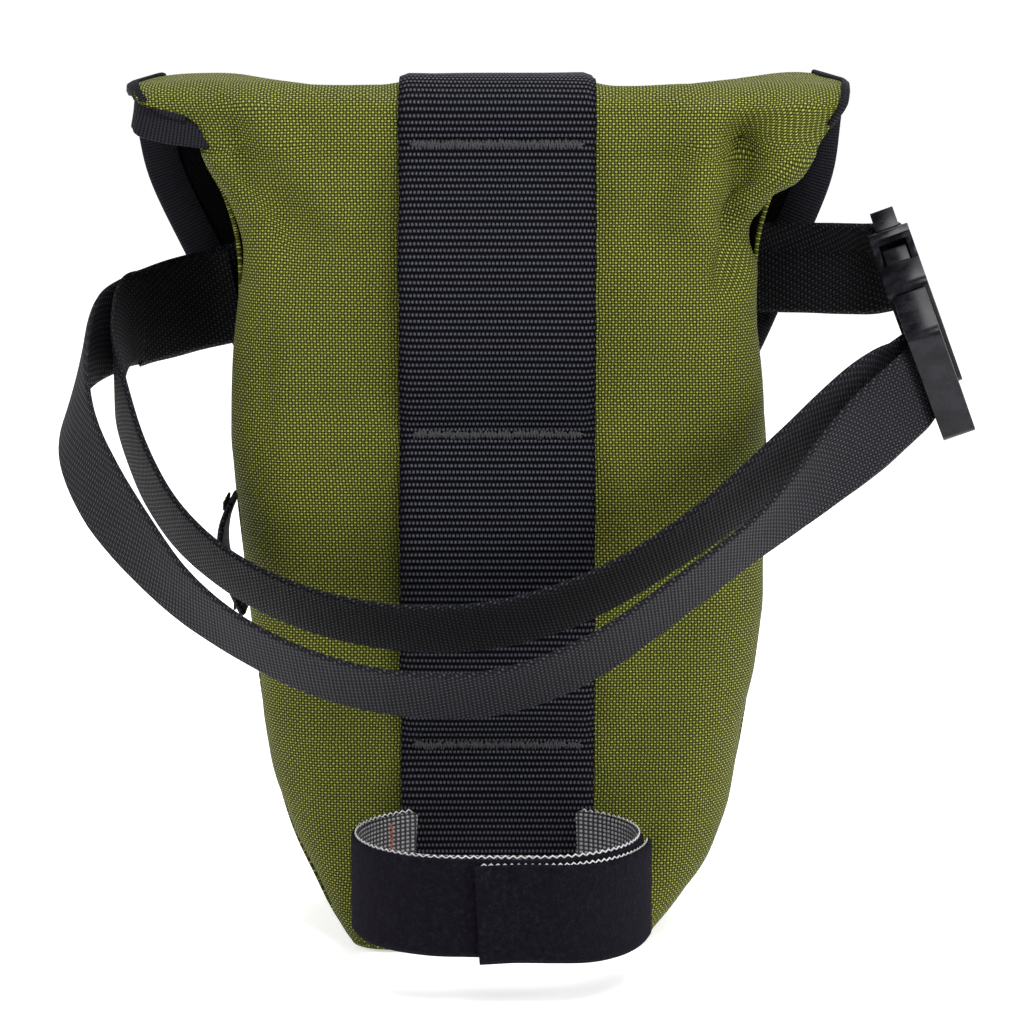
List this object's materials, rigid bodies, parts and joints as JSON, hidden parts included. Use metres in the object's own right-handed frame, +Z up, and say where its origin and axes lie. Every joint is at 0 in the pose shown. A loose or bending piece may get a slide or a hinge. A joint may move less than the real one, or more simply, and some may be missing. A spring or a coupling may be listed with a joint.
{
  "type": "saddle bag",
  "caption": "Tall soft saddle bag with a fold-over lid, wide webbing spine, buckled carrying strap and a hook-and-loop seat-post band.",
  "frame": {"origin": "on the surface under the bag, on the middle line of its base", "axes": "+Z up, -Y towards the seat post, +X to the buckle's side"},
  "size_m": [0.2418, 0.153, 0.232],
  "materials": {
    "green_fabric": "coated nylon plain weave",
    "tan_lining": "coated lining",
    "stiffener": "flexible sheet",
    "foam": "closed-cell foam",
    "black_tape": "ribbed binding tape",
    "loop_pile": "brushed loop pile",
    "hook_pile": "hook tape",
    "webbing": "ribbed nylon webbing",
    "thread": "bonded thread",
    "black_fabric": "ribbed nylon",
    "moulded_plastic": "moulded acetal"
  },
  "bodies": {
    "bag": {"mounting_panel": "green_fabric", "far_panel": "green_fabric", "gusset_strip": "green_fabric", "lining": "tan_lining", "back_stiffener": "stiffener", "base_pad": "foam", "mouth_binding": "black_tape", "bag_loop_patch": "loop_pile", "spine_webbing": "webbing", "bartack_top": "thread", "bartack_middle": "thread", "bartack_bottom": "thread", "carry_band": "webbing", "left_sleeve": "webbing", "buckle_lead": "webbing", "buckle_socket": "moulded_plastic", "post_strap": "loop_pile", "side_loop": "webbing", "side_loop_bartacks": "thread"},
    "lid": {"lid_flap": "green_fabric", "lid_lining": "black_fabric", "lid_binding": "black_tape", "lid_webbing": "webbing", "lid_hook_patch": "hook_pile"},
    "strap": {"long_strap": "webbing", "buckle_plug": "moulded_plastic"},
    "arm_upper": {"buckle_arm_upper": "moulded_plastic"},
    "arm_lower": {"buckle_arm_lower": "moulded_plastic"},
    "post_tab": {"post_strap_end": "loop_pile"}
  },
  "joints": [
    {"name": "lid_fold", "type": "hinge", "parent": "bag", "child": "lid", "pos_m": [0, -0.0446, 0.2172], "axis": [1, 0, 0], "range_deg": [0, 150]},
    {"name": "buckle_pull", "type": "slide", "parent": "bag", "child": "strap", "axis": [0.1002, -0.8818, -0.4609], "range_m": [0, 0.034]},
    {"name": "arm_upper_squeeze", "type": "hinge", "parent": "strap", "child": "arm_upper", "pos_m": [0.10866, -0.02039, 0.16664], "axis": [-0.9345, 0.0757, -0.3479], "range_deg": [0, 6], "stiffness_Nm_per_rad": 0.2},
    {"name": "arm_lower_squeeze", "type": "hinge", "parent": "strap", "child": "arm_lower", "pos_m": [0.1172, -0.00874, 0.14623], "axis": [0.9345, -0.0757, 0.3479], "range_deg": [0, 6], "stiffness_Nm_per_rad": 0.2},
    {"name": "post_strap_peel", "type": "hinge", "parent": "bag", "child": "post_tab", "pos_m": [0.0396, -0.0693, 0.025], "axis": [0, 0, 1], "range_deg": [0, 110]}
  ],
  "couplings": [
    {"joint": "arm_lower_squeeze", "follows": "arm_upper_squeeze", "ratio": 1}
  ]
}
